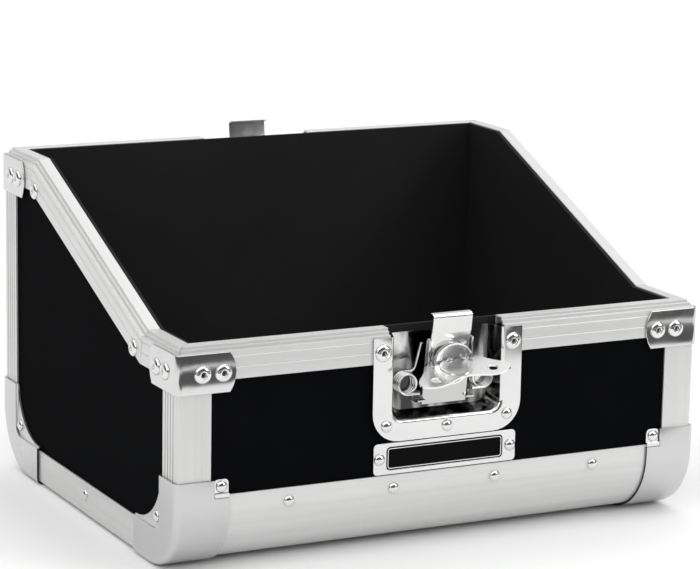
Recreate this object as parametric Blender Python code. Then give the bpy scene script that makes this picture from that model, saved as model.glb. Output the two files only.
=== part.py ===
"""Record carrying case with a slanted rim: the open base, with its lid lifted off.

Frame: X to the right seen from the front, Y to the back, Z up, metres. The origin is on the surface
that the case stands on, under the middle of the case. Sizes inside a face are measured inward from
the outer faces of the aluminium extrusions, and heights from the underside of the extrusions.
"""
import math

import bmesh
import bpy
from mathutils import Matrix, Vector

MM = 0.001

# Case
CASE_WIDTH = 370.0 * MM
CASE_DEPTH = 300.0 * MM
FRONT_HEIGHT = 140.5 * MM
BACK_HEIGHT = 217.5 * MM
FRONT_FLAT = 55.0 * MM
BACK_FLAT = 55.0 * MM
GAP = 0.3 * MM
OVERRUN = 2.0 * MM

# Panels and lining boards
PLY = 9.0 * MM
LINING = 2.5 * MM
LINING_RISE = 3.2 * MM

# Extrusions
WALL = 1.2 * MM
EDGE_LEG = 22.5 * MM
EDGE_RADIUS = 2.7 * MM
GROOVE_WIDTH = 0.8 * MM
GROOVE_DEPTH = 0.35 * MM
POST_GROOVES = 4
ROLL_RADIUS = 43.4 * MM
ROLL_LIP = 6.6 * MM
ROLL_SLOT = 10.0 * MM
ROLL_SLOT_WALL = 8.0 * MM

# Closing rim
RIM_FACE = 18.0 * MM
RIM_INNER_LEG = 14.0 * MM
RIM_LEDGE = 2.4 * MM
RIM_STEP_HEIGHT = 2.2 * MM
RIM_STEP_WIDTH = 1.6 * MM
TONGUE_HEIGHT = 4.0 * MM
TONGUE_CHAMFER = 0.4 * MM
RIM_GROOVE_UPPER = 3.6 * MM
RIM_GROOVE_LOWER = 10.6 * MM

# Bottom corner covers and their clips
COVER_SKIN = 1.3 * MM
COVER_WIDTH = 34.5 * MM
COVER_DEPTH = 65.0 * MM
COVER_HEIGHT = 60.0 * MM
COVER_WINDOW_WIDTH = 40.0 * MM
COVER_WINDOW_HEIGHT = 35.0 * MM
COVER_LAND_RADIUS = 8.0 * MM
COVER_STEP = 1.3 * MM
COVER_EDGE_STEPS = 3
COVER_RIVET_IN = 30.5 * MM
COVER_RIVET_UP = 32.0 * MM
CLIP_WIDTH = 9.8 * MM
CLIP_HEIGHT = 10.0 * MM
CLIP_SHEET = 1.2 * MM
CLIP_LIP = 2.0 * MM
CLIP_RADIUS = 2.6 * MM
CLIP_RIVET_DROP = 4.6 * MM

# Top corner brackets
BRACKET_SHEET = 1.1 * MM
BRACKET_HEIGHT = 25.2 * MM
BRACKET_TOP_DROP = 0.3 * MM
BRACKET_FRONT_ARM = 38.5 * MM
BRACKET_SIDE_ARM = 41.0 * MM
BRACKET_END_BULGE = 4.0 * MM
BRACKET_RIVETS = (16.0 * MM, 29.8 * MM)
BRACKET_RIVET_DROP = 12.8 * MM

# Rivet heads
BIG_RIVET_RADIUS = 5.6 * MM
BIG_RIVET_HEIGHT = 2.1 * MM
BIG_RIVET_HOLE = 1.6 * MM
SMALL_RIVET_RADIUS = 3.8 * MM
SMALL_RIVET_HEIGHT = 2.3 * MM
RIVET_SHANK = 0.6 * MM
RIVET_SIDES = 10
ROLL_RIVET_PITCH = 73.0 * MM
ROLL_RIVET_UP = 41.5 * MM
ROLL_RIVET_COUNT = 4
EDGE_RIVET_UP = 14.0 * MM
SLOPE_RIVET_RISE = 3.4 * MM
SLOPE_RIVET_FRONT = 9.2 * MM
SLOPE_RIVET_BACK = 9.7 * MM

# Name plate, left bare
PLATE_WIDTH = 102.0 * MM
PLATE_HEIGHT = 20.4 * MM
PLATE_SHEET = 1.2 * MM
PLATE_CORNER = 2.6 * MM
PLATE_CLEAR = 0.6 * MM
PLATE_DISH_CLEAR = 1.0 * MM
PLATE_RIVET_SPACING = 94.0 * MM
PLATE_FIELD_WIDTH = 84.0 * MM
PLATE_FIELD_HEIGHT = 15.4 * MM
PLATE_FIELD_CORNER = 3.0 * MM
PLATE_FIELD_DEPTH = 0.35 * MM

# Latch dish
DISH_SHEET = 1.2 * MM
DISH_FLANGE_HALF = 53.0 * MM
DISH_TOP_DROP = 1.2 * MM
DISH_FLANGE_CORNER = 19.0 * MM
POCKET_HALF = 39.0 * MM
POCKET_BACK_HALF = 34.5 * MM
POCKET_RISE = 13.0 * MM
POCKET_BACK_RISE = 17.0 * MM
POCKET_CORNER = 7.0 * MM
POCKET_LIP = 1.6 * MM
LIP_STEPS = 3
FLANGE_BIG_RIVET_SIDE = 46.4 * MM
FLANGE_BIG_RIVET_DROP = 10.7 * MM
FLANGE_SMALL_RIVET_SIDE = 43.2 * MM
FLANGE_SMALL_RIVET_RISE = 10.4 * MM
FLANGE_MIDDLE_RIVET_RISE = 7.0 * MM

# Latch hinge, springs and carrier
TILT_AXIS_IN = 6.6 * MM
TILT_AXIS_RISE = 25.0 * MM
REST_TILT = math.radians(8.0)
HINGE_PIN_RADIUS = 1.6 * MM
HINGE_PIN_HALF = 19.2 * MM
PIN_CLEARANCE = 0.25 * MM
LUG_FACE = 17.2 * MM
LUG_RADIUS = 3.4 * MM
CARRIER_HALF = 15.7 * MM
CARRIER_SHEET = 1.2 * MM
CARRIER_BACK = 2.1 * MM
CARRIER_BELOW = 4.0 * MM
CARRIER_ABOVE = 40.0 * MM
CARRIER_FLANGE_START = 14.0 * MM
CARRIER_FLANGE_FRONT = 6.0 * MM
CARRIER_TAB_HALF = 20.2 * MM
CARRIER_TAB_DROP = 1.0 * MM
CARRIER_TAB_BACK = 3.9 * MM
CARRIER_TAB_FRONT = 6.2 * MM
SPRING_SIDE = 26.9 * MM
SPRING_RISE = 35.2 * MM
SPRING_RADIUS = 6.5 * MM
SPRING_WIRE = 1.8 * MM
SPRING_PITCH = 2.35 * MM
SPRING_TURNS = 3.5
SPRING_CURL_POINTS = 10
SPRING_SHORT_LEG = 8.1 * MM
SPRING_BEND_SIDE = 8.4 * MM
SPRING_BEND_UP = 8.3 * MM
SPRING_BEND_DEPTH = 9.0 * MM
SPRING_TIP_SIDE = 9.5 * MM
SPRING_TIP_UP = 25.8 * MM
SPRING_TIP_DEPTH = 3.0 * MM
SPRING_POST_RADIUS = 4.8 * MM
SPRING_POST_LENGTH = 4.0 * MM

# Latch hook plate
HOOK_HALF = 13.9 * MM
HOOK_SHEET = 1.2 * MM
HOOK_BOTTOM = 15.5 * MM
HOOK_JOGGLE_UP = 44.0 * MM
HOOK_JOGGLE = 0.7 * MM
HOOK_TOP = 54.2 * MM
HOOK_CURL_RADIUS = 2.3 * MM
HOOK_LIP = 2.4 * MM
HOOK_STROKE = 8.0 * MM
CAM_CLEARANCE = 0.95 * MM

# Latch spindle with its cup and eccentric
SPINDLE_UP = 24.8 * MM
SPINDLE_RADIUS = 4.0 * MM
SPINDLE_HEAD_RADIUS = 6.0 * MM
SPINDLE_HEAD_HEIGHT = 1.2 * MM
CAM_RADIUS = 6.0 * MM
CUP_MOUTH_RADIUS = 14.2 * MM
CUP_DEPTH = 6.0 * MM
CUP_SHEET = 1.2 * MM
CUP_RIVET_RADIUS = 2.4 * MM
CUP_RIVET_HEIGHT = 1.1 * MM
WING_TURN = math.radians(7.2)

# Latch wing
WING_AXIS_DEPTH = 2.2 * MM
WING_AXIS_DROP = 2.7 * MM
WING_PIN_RADIUS = 0.9 * MM
WING_PIN_FIT = 0.1 * MM
WING_BEARING_RADIUS = 1.75 * MM
WING_BARREL_RADIUS = 2.3 * MM
WING_BARREL_HALF = 9.6 * MM
WING_BARREL_PART = 3.6 * MM
WING_DROOP = math.radians(5.4)
WING_SHEET = 1.4 * MM
WING_OFFSET = 2.0 * MM
WING_SLOT_BACK = 1.5 * MM
WING_SLOT_TOP = 3.9 * MM
WING_HALF_SPAN = 32.3 * MM
WING_REACH = 24.5 * MM
WING_HOLE_RADIUS = 3.5 * MM
WING_HOLE_SIDE = 20.0 * MM
WING_HOLE_OUT = 16.6 * MM
WING_DISC_RADIUS = 10.8 * MM
WING_DISC_OUT = 6.4 * MM
WING_DISC_RAISE = 0.6 * MM
WING_DISC_TAIL = 2.0 * MM
WING_NOTCH_RADIUS = 3.2 * MM

# Half outline of the wing from the middle of its outer edge round to its inner edge, as shares of the
# half span and of the reach
WING_HALF_SHARES = (
    (0.09, 0.779), (0.28, 0.859), (0.46, 0.962), (0.60, 1.0), (0.74, 0.991), (0.87, 0.925), (0.955, 0.840),
    (0.985, 0.728), (0.965, 0.606), (0.90, 0.474), (0.80, 0.343), (0.70, 0.193), (0.645, 0.061),
    (0.60, -0.042), (0.54, -0.084), (0.475, -0.061), (0.445, 0.024), (0.36, 0.014),
)

# Worked out from the sizes above
HALF_WIDTH = CASE_WIDTH / 2
HALF_DEPTH = CASE_DEPTH / 2
PANEL_FACE = WALL + GAP
PANEL_BACK = PANEL_FACE + PLY
LEG_FACE = PANEL_BACK + GAP
LEG_BACK = LEG_FACE + WALL
LINING_FACE = LEG_BACK + GAP
LINING_BACK = LINING_FACE + LINING
LINING_CORNER = ROLL_RADIUS - math.sqrt((ROLL_RADIUS - WALL - GAP) ** 2 - (ROLL_RADIUS - LINING_FACE) ** 2)
COVER_PROUD = COVER_SKIN + GAP
BASE = COVER_PROUD
ROLL_EDGE = ROLL_RADIUS + ROLL_LIP
ROLL_WEB = ROLL_EDGE - ROLL_SLOT
BRACKET_TOP = FRONT_HEIGHT - BRACKET_TOP_DROP
BRACKET_BOTTOM = BRACKET_TOP - BRACKET_HEIGHT
DISH_TOP = FRONT_HEIGHT - DISH_TOP_DROP
DISH_BOTTOM = ROLL_EDGE + PLATE_CLEAR + PLATE_HEIGHT + PLATE_DISH_CLEAR
POCKET_BOTTOM = DISH_BOTTOM + POCKET_RISE
POCKET_BACK_BOTTOM = DISH_BOTTOM + POCKET_BACK_RISE
FLANGE_BIG_RIVET_UP = FRONT_HEIGHT - FLANGE_BIG_RIVET_DROP
FLANGE_SMALL_RIVET_UP = DISH_BOTTOM + FLANGE_SMALL_RIVET_RISE
FLANGE_MIDDLE_RIVET_UP = DISH_BOTTOM + FLANGE_MIDDLE_RIVET_RISE
TILT_AXIS_UP = DISH_BOTTOM + TILT_AXIS_RISE
SPRING_UP = DISH_BOTTOM + SPRING_RISE
POCKET_DEPTH = LEG_BACK - DISH_SHEET
FLANGE_FACE = GAP + DISH_SHEET
CARRIER_FACE = CARRIER_BACK + CARRIER_SHEET
HOOK_BACK = CARRIER_FACE + GAP
HOOK_FACE = HOOK_BACK + HOOK_SHEET
CUP_BACK = HOOK_FACE + GAP
CUP_MOUTH = CUP_BACK + CUP_DEPTH
CAM_THROW = HOOK_STROKE / 2
WING_AXIS = CUP_MOUTH - WING_AXIS_DEPTH
WING_PIN_HALF = math.sqrt(CUP_MOUTH_RADIUS ** 2 - WING_AXIS_DROP ** 2) - 2 * GAP
LATCH_RISE = BACK_HEIGHT - FRONT_HEIGHT


def clear_scene():
    for item in list(bpy.data.objects):
        bpy.data.objects.remove(item, do_unlink=True)


def make_material(name, colour, roughness, metallic):
    material = bpy.data.materials.new(name)
    material.use_nodes = True
    shader = material.node_tree.nodes["Principled BSDF"]
    shader.inputs["Base Color"].default_value = (*colour, 1.0)
    shader.inputs["Roughness"].default_value = roughness
    shader.inputs["Metallic"].default_value = metallic
    material.diffuse_color = (*colour, 1.0)
    return material


FINISHES = {
    "laminate": ((0.012, 0.012, 0.014), 0.45, 0.0),
    "lining": ((0.02, 0.02, 0.022), 0.9, 0.0),
    "aluminium": ((0.78, 0.79, 0.80), 0.38, 0.9),
    "cover_steel": ((0.66, 0.67, 0.69), 0.32, 0.85),
    "bright_steel": ((0.82, 0.82, 0.83), 0.12, 1.0),
    "spring_steel": ((0.72, 0.72, 0.74), 0.2, 1.0),
}


# Mesh tools

def object_from_bmesh(name, bm, finish):
    bmesh.ops.recalc_face_normals(bm, faces=bm.faces)
    mesh = bpy.data.meshes.new(name)
    bm.to_mesh(mesh)
    bm.free()
    item = bpy.data.objects.new(name, mesh)
    bpy.context.scene.collection.objects.link(item)
    colour, roughness, metallic = FINISHES[finish]
    mesh.materials.append(make_material(name, colour, roughness, metallic))
    return item


def solid_from_rings(name, rings, finish):
    """Closed solid through rings of equally many points, with a face over each end."""
    bm = bmesh.new()
    loops = [[bm.verts.new(point) for point in ring] for ring in rings]
    for first, second in zip(loops, loops[1:]):
        for index in range(len(first)):
            after = (index + 1) % len(first)
            bm.faces.new((first[index], first[after], second[after], second[index]))
    bm.faces.new(loops[0])
    bm.faces.new(loops[-1])
    return object_from_bmesh(name, bm, finish)


def in_plane(plane, point, level):
    across, along = point
    places = {"YZ": (level, across, along), "XZ": (across, level, along), "XY": (across, along, level)}
    return Vector(places[plane])


def prism(name, plane, outline, start, end, finish):
    """Outline in one of the main planes, extruded from start to end along the third axis."""
    rings = [[in_plane(plane, point, level) for point in outline] for level in (start, end)]
    return solid_from_rings(name, rings, finish)


def box(name, low, high, finish):
    outline = [(low[0], low[1]), (high[0], low[1]), (high[0], high[1]), (low[0], high[1])]
    return prism(name, "XY", outline, low[2], high[2], finish)


def arc(centre, radius, start, end, steps, squash=1.0):
    """Points along an arc, angles in degrees; squash flattens its second direction."""
    points = []
    for step in range(steps + 1):
        angle = math.radians(start + (end - start) * step / steps)
        points.append((centre[0] + radius * math.cos(angle), centre[1] + radius * squash * math.sin(angle)))
    return points


def turned(name, profile, sides, finish, place=Matrix.Identity(4)):
    """Solid of revolution about local Z. The profile runs up its outer side, from axis to axis."""
    bm = bmesh.new()
    rings = []
    for radius, height in profile:
        if radius == 0:
            rings.append([bm.verts.new(place @ Vector((0, 0, height)))])
            continue
        ring = []
        for side in range(sides):
            angle = 2 * math.pi * side / sides
            ring.append(bm.verts.new(place @ Vector((radius * math.cos(angle), radius * math.sin(angle), height))))
        rings.append(ring)
    for first, second in zip(rings, rings[1:]):
        for side in range(sides):
            after = (side + 1) % sides
            if len(first) == 1:
                bm.faces.new((first[0], second[after], second[side]))
            elif len(second) == 1:
                bm.faces.new((first[side], first[after], second[0]))
            else:
                bm.faces.new((first[side], first[after], second[after], second[side]))
    return object_from_bmesh(name, bm, finish)


def cylinder(name, radius, low, high, sides, finish, place=Matrix.Identity(4)):
    return turned(name, [(0, low), (radius, low), (radius, high), (0, high)], sides, finish, place)


def combine(target, operation, tools):
    """Apply Boolean steps to the target with each tool in turn, and delete the tools."""
    for tool in tools:
        step = target.modifiers.new(tool.name, "BOOLEAN")
        step.operation = operation
        step.solver = "EXACT"
        step.object = tool
        tool.hide_render = True
        tool.display_type = "WIRE"
    depsgraph = bpy.context.evaluated_depsgraph_get()
    mesh = bpy.data.meshes.new_from_object(target.evaluated_get(depsgraph))
    target.modifiers.clear()
    target.data = mesh
    keep = target.data.materials[0]
    target.data.materials.clear()
    target.data.materials.append(keep)
    for tool in tools:
        bpy.data.objects.remove(tool, do_unlink=True)
    return target


def cut(target, *tools):
    return combine(target, "DIFFERENCE", tools)


def fuse(target, *tools):
    return combine(target, "UNION", tools)


def trim(target, *tools):
    return combine(target, "INTERSECT", tools)


def moved_copy(item, name, matrix):
    """Copy of an object with its mesh moved by a matrix; a mirror image keeps its faces outward."""
    mesh = item.data.copy()
    mesh.name = name
    mesh.transform(matrix)
    if matrix.determinant() < 0:
        mesh.flip_normals()
    twin = bpy.data.objects.new(name, mesh)
    bpy.context.scene.collection.objects.link(twin)
    return twin


def smooth(item, degrees=35.0):
    item.data.shade_smooth()
    item.data.set_sharp_from_angle(angle=math.radians(degrees))


MIRROR_X = Matrix.Scale(-1, 4, (1, 0, 0))
MIRROR_Y = Matrix.Scale(-1, 4, (0, 1, 0))
OUTWARD = Matrix.Rotation(math.pi / 2, 4, "X")


# Rivets

def facing(point, outward):
    """Matrix that puts local +Z along the outward direction at a point."""
    turn = Vector((0, 0, 1)).rotation_difference(Vector(outward)).to_matrix().to_4x4()
    return Matrix.Translation(Vector(point)) @ turn


def big_rivet(point, outward):
    edge = BIG_RIVET_RADIUS
    top = BIG_RIVET_HEIGHT
    hole = BIG_RIVET_HOLE
    profile = [(0, -RIVET_SHANK), (edge, -RIVET_SHANK), (edge, top / 8), (edge * 0.8, top * 0.75),
               (edge * 0.45, top), (hole, top / 3), (0, top / 3)]
    return turned("rivet", profile, RIVET_SIDES, "bright_steel", facing(point, outward))


def small_rivet(point, outward):
    edge = SMALL_RIVET_RADIUS
    top = SMALL_RIVET_HEIGHT
    profile = [(0, -RIVET_SHANK), (edge, -RIVET_SHANK), (edge, top / 8), (edge * 0.78, top * 0.7),
               (edge * 0.4, top), (0, top)]
    return turned("rivet", profile, RIVET_SIDES, "bright_steel", facing(point, outward))


# Lines that several pieces share

def front_y(inward):
    return -HALF_DEPTH + inward


def left_x(inward):
    return -HALF_WIDTH + inward


def up(height):
    return BASE + height


def rim_line(rise, front_in=0.0, back_in=0.0):
    """Line of the slanted rim in the YZ plane, moved square to itself by rise from its ledge."""
    corners = [(front_y(0), up(FRONT_HEIGHT)), (front_y(FRONT_FLAT), up(FRONT_HEIGHT)),
               (HALF_DEPTH - BACK_FLAT, up(BACK_HEIGHT)), (HALF_DEPTH, up(BACK_HEIGHT))]
    bend = math.tan(slope_angle() / 2) * rise
    front, low, high, back = corners
    return [(front[0] + front_in, front[1] + rise), (low[0] - bend, low[1] + rise),
            (high[0] - bend, high[1] + rise), (back[0] - back_in, back[1] + rise)]


def slope_angle():
    run = CASE_DEPTH - FRONT_FLAT - BACK_FLAT
    return math.atan2(BACK_HEIGHT - FRONT_HEIGHT, run)


def grooved_line(start, end, places, inward):
    """Straight run with shallow V grooves at distances from its start."""
    start = Vector(start)
    end = Vector(end)
    along = (end - start).normalized()
    sink = Vector(inward) * GROOVE_DEPTH
    points = [start]
    for place in places:
        middle = start + along * place
        points += [middle - along * GROOVE_WIDTH / 2, middle + sink, middle + along * GROOVE_WIDTH / 2]
    points.append(end)
    return [tuple(point) for point in points]


# Panels and lining boards

def end_panel_outline(height):
    """Front or back panel in XZ, notched from above for the latch dish."""
    half = HALF_WIDTH - LEG_FACE
    low = up(ROLL_WEB + GAP)
    high = up(height - PANEL_FACE)
    rise = height - FRONT_HEIGHT
    notch_half = POCKET_HALF + DISH_SHEET + 2 * GAP
    notch_low = up(POCKET_BOTTOM + rise - DISH_SHEET - 2 * GAP)
    radius = POCKET_CORNER + DISH_SHEET
    right = arc((notch_half - radius, notch_low + radius), radius, 0, -90, 5)
    left = arc((radius - notch_half, notch_low + radius), radius, -90, -180, 5)
    return [(-half, low), (half, low), (half, high), (notch_half, high)] + right + left + [
        (-notch_half, high), (-half, high)]


def make_end_panels():
    prism("front_panel", "XZ", end_panel_outline(FRONT_HEIGHT), front_y(PANEL_FACE), front_y(PANEL_BACK),
          "laminate")
    prism("back_panel", "XZ", end_panel_outline(BACK_HEIGHT), -front_y(PANEL_FACE), -front_y(PANEL_BACK),
          "laminate")


def make_side_panels():
    radius = ROLL_RADIUS - PANEL_FACE
    near = arc((front_y(ROLL_RADIUS), up(ROLL_RADIUS)), radius, 180, 270, 10)
    far = arc((-front_y(ROLL_RADIUS), up(ROLL_RADIUS)), radius, 270, 360, 10)
    top = rim_line(-PANEL_FACE, PANEL_FACE, PANEL_FACE)
    outline = near + far + top[::-1]
    left = prism("left_panel", "YZ", outline, left_x(PANEL_FACE), left_x(PANEL_BACK), "laminate")
    moved_copy(left, "right_panel", MIRROR_X)


def make_bottom_panel():
    far = front_y(ROLL_WEB + GAP)
    side = left_x(LEG_FACE)
    box("bottom_panel", (side, far, up(PANEL_FACE)), (-side, -far, up(PANEL_BACK)), "laminate")


def make_linings():
    side = left_x(LINING_FACE)
    inner = left_x(LINING_BACK + GAP)
    low = up(LINING_FACE)
    corner = up(LINING_CORNER)
    near = front_y(LINING_FACE)
    reach = front_y(LINING_CORNER)
    outline = [(near, corner), (reach, low), (-reach, low), (-near, corner)]
    outline += rim_line(LINING_RISE, LINING_FACE, LINING_FACE)[::-1]
    left = prism("left_lining", "YZ", outline, side, side + LINING, "lining")
    moved_copy(left, "right_lining", MIRROR_X)
    for name, height, turn in (("front_lining", FRONT_HEIGHT, 1), ("back_lining", BACK_HEIGHT, -1)):
        near = turn * front_y(LINING_FACE)
        board = [(inner, corner), (-inner, corner), (-inner, up(height + LINING_RISE)),
                 (inner, up(height + LINING_RISE))]
        prism(name, "XZ", board, near, near + turn * LINING, "lining")
    box("bottom_lining", (inner, reach, low), (-inner, -reach, low + LINING), "lining")


# Extrusions

def roll_outline():
    """Section of the bottom roll in YZ at the front: a curved wall with a panel slot at each end."""
    centre = (ROLL_RADIUS, ROLL_RADIUS)
    outer = [(0, ROLL_EDGE)] + arc(centre, ROLL_RADIUS, 180, 270, 12) + [(ROLL_EDGE, 0)]
    slot_end = ROLL_WEB + ROLL_SLOT_WALL
    lower = [(ROLL_EDGE, WALL), (ROLL_WEB, WALL), (ROLL_WEB, LEG_FACE), (slot_end, LEG_FACE),
             (slot_end, LEG_BACK), (ROLL_WEB - WALL, LEG_BACK)]
    inner_radius = ROLL_RADIUS - WALL
    reach = ROLL_RADIUS - ROLL_WEB + WALL
    angle = math.degrees(math.asin(reach / inner_radius))
    inner = arc(centre, inner_radius, 270 - angle, 180 + angle, 10)
    upper = [(across, along) for along, across in reversed(lower)]
    section = outer + lower + inner + upper
    return [(front_y(inward), up(height)) for inward, height in section]


def make_rolls():
    half = HALF_WIDTH - LEG_FACE
    front = prism("front_bottom_roll", "YZ", roll_outline(), -half, half, "aluminium")
    heads = []
    for index in range(ROLL_RIVET_COUNT):
        across = (index - (ROLL_RIVET_COUNT - 1) / 2) * ROLL_RIVET_PITCH
        heads.append(small_rivet((across, front_y(0), up(ROLL_RIVET_UP)), (0, -1, 0)))
    fuse(front, *heads)
    smooth(front)
    moved_copy(front, "back_bottom_roll", MIRROR_Y)


def angle_outline(grooves):
    """Section of a corner angle, its outer corner at zero, with grooves along its first face."""
    run = EDGE_LEG - EDGE_RADIUS
    places = [run * (index + 1) / (grooves + 1) for index in range(grooves)]
    down = grooved_line((0, EDGE_LEG), (0, EDGE_RADIUS), places, (1, 0))
    corner = arc((EDGE_RADIUS, EDGE_RADIUS), EDGE_RADIUS, 180, 270, 4)
    return down[:-1] + corner + [(EDGE_LEG, 0), (EDGE_LEG, WALL), (WALL, WALL), (WALL, EDGE_LEG)]


def make_bottom_edges():
    outline = [(left_x(inward), up(height)) for inward, height in angle_outline(0)]
    end = front_y(ROLL_EDGE + GAP)
    left = prism("left_bottom_edge", "XZ", outline, end, -end, "aluminium")
    fuse(left, small_rivet((left_x(0), 0, up(EDGE_RIVET_UP)), (-1, 0, 0)))
    moved_copy(left, "right_bottom_edge", MIRROR_X)


def make_posts():
    low = up(ROLL_EDGE + GAP)
    outline = [(left_x(inward), front_y(depth)) for inward, depth in angle_outline(POST_GROOVES)]
    for side, height in (("front", FRONT_HEIGHT), ("back", BACK_HEIGHT)):
        high = up(height - RIM_FACE - GAP)
        post = prism(side + "_left_post", "XY", outline, low, high, "aluminium")
        if side == "back":
            post.data.transform(MIRROR_Y)
            post.data.flip_normals()
        moved_copy(post, side + "_right_post", MIRROR_X)


def rim_profile():
    """Section of the closing rim: depth from the outer face, and rise from the ledge."""
    face = grooved_line((0, -RIM_FACE), (0, 0), (RIM_FACE - RIM_GROOVE_LOWER, RIM_FACE - RIM_GROOVE_UPPER),
                        (1, 0))
    tongue = RIM_LEDGE + RIM_STEP_WIDTH
    top = TONGUE_HEIGHT
    return face + [
        (RIM_LEDGE, 0), (RIM_LEDGE, RIM_STEP_HEIGHT), (tongue, RIM_STEP_HEIGHT), (tongue, top),
        (LEG_BACK - TONGUE_CHAMFER, top), (LEG_BACK, top - TONGUE_CHAMFER), (LEG_BACK, -RIM_INNER_LEG),
        (LEG_FACE, -RIM_INNER_LEG), (LEG_FACE, top - WALL), (tongue + WALL, top - WALL),
        (tongue + WALL, RIM_STEP_HEIGHT - WALL), (RIM_LEDGE + WALL, RIM_STEP_HEIGHT - WALL),
        (RIM_LEDGE + WALL, -WALL), (WALL, -WALL), (WALL, -RIM_FACE)]


def rim_length(name, start, end, inward, start_plane, end_plane):
    """One length of rim along a straight line, cut to a mitre plane at each end."""
    start = Vector(start)
    end = Vector(end)
    inward = Vector(inward)
    along = (end - start).normalized()
    rise = along.cross(inward)
    if rise.z < 0:
        rise.negate()
    rings = []
    for point, normal in ((start, Vector(start_plane)), (end, Vector(end_plane))):
        shift = normal.normalized() * (GAP / 2)
        if (point - (start + end) / 2).dot(shift) > 0:
            shift.negate()
        ring = []
        for depth, height in rim_profile():
            foot = start + inward * depth + rise * height
            travel = (point + shift - foot).dot(normal) / along.dot(normal)
            ring.append(foot + along * travel)
        rings.append(ring)
    return solid_from_rings(name, rings, "aluminium")


def case_rounding(name):
    """Tall block with the rounded plan of the case, which rounds the mitred corners."""
    outline = []
    for side, (sign_x, sign_y) in enumerate(((1, 1), (-1, 1), (-1, -1), (1, -1))):
        centre = (sign_x * (HALF_WIDTH - EDGE_RADIUS), sign_y * (HALF_DEPTH - EDGE_RADIUS))
        outline += arc(centre, EDGE_RADIUS, side * 90, side * 90 + 90, 4)
    return prism(name, "XY", outline, 0, 2 * BACK_HEIGHT, "aluminium")


def make_rims():
    cut_half = POCKET_HALF + DISH_SHEET + GAP
    for side, height, sign in (("front", FRONT_HEIGHT, -1), ("back", BACK_HEIGHT, 1)):
        depth = sign * HALF_DEPTH
        corner = (-HALF_WIDTH, depth, up(height))
        stop = (-cut_half, depth, up(height))
        left = rim_length(side + "_left_rim", corner, stop, (0, -sign, 0), (1, sign, 0), (1, 0, 0))
        trim(left, case_rounding("rounding"))
        moved_copy(left, side + "_right_rim", MIRROR_X)

    front, low, high, back = [Vector((-HALF_WIDTH, across, height)) for across, height in rim_line(0)]
    turn = slope_angle() / 2
    mitre = (0, math.cos(turn), math.sin(turn))
    pieces = [
        rim_length("left_front_rim", front, low, (1, 0, 0), (1, -1, 0), mitre),
        rim_length("left_slope_rim", low, high, (1, 0, 0), mitre, mitre),
        rim_length("left_back_rim", high, back, (1, 0, 0), mitre, (1, 1, 0)),
    ]
    trim(pieces[0], case_rounding("rounding"))
    trim(pieces[2], case_rounding("rounding"))
    along = (high - low).normalized()
    square = Vector((0, -along.z, along.y))
    drop = square * (SLOPE_RIVET_RISE - RIM_FACE)
    fuse(pieces[1], big_rivet(low + along * SLOPE_RIVET_FRONT + drop, (-1, 0, 0)),
         big_rivet(high - along * SLOPE_RIVET_BACK + drop, (-1, 0, 0)))
    for piece in pieces:
        moved_copy(piece, piece.name.replace("left", "right"), MIRROR_X)


# Bottom corner covers and clips

def rounded_block(name, offset, start, end, open_height, open_depth):
    """Corner block offset outward from the extrusions, its outer side edges rounded at its start face."""
    centre = (front_y(ROLL_RADIUS), up(ROLL_RADIUS))
    radius = EDGE_RADIUS + offset
    rings = []
    for step in range(COVER_EDGE_STEPS + 1):
        angle = math.pi / 2 * step / COVER_EDGE_STEPS
        inset = radius * (1 - math.sin(angle))
        reach = ROLL_RADIUS + offset - inset
        outline = [(centre[0] - reach, open_height)] + arc(centre, reach, 180, 270, 12)
        outline += [(open_depth, centre[1] - reach), (open_depth, open_height)]
        level = start + radius * (1 - math.cos(angle))
        rings.append([in_plane("YZ", point, level) for point in outline])
    rings.append([in_plane("YZ", point, end) for point in outline])
    return solid_from_rings(name, rings, "cover_steel")


def land_outline(inward):
    """Region of a side panel that the cover's sunk land lies on, in YZ, with a rounded inner corner."""
    near = front_y(inward)
    low = up(inward)
    far = front_y(COVER_DEPTH + 2 * OVERRUN)
    high = up(COVER_HEIGHT + 2 * OVERRUN)
    centre = (near + COVER_LAND_RADIUS, low + COVER_LAND_RADIUS)
    return arc(centre, COVER_LAND_RADIUS, 180, 270, 5) + [(far, low), (far, high), (near, high)]


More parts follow.
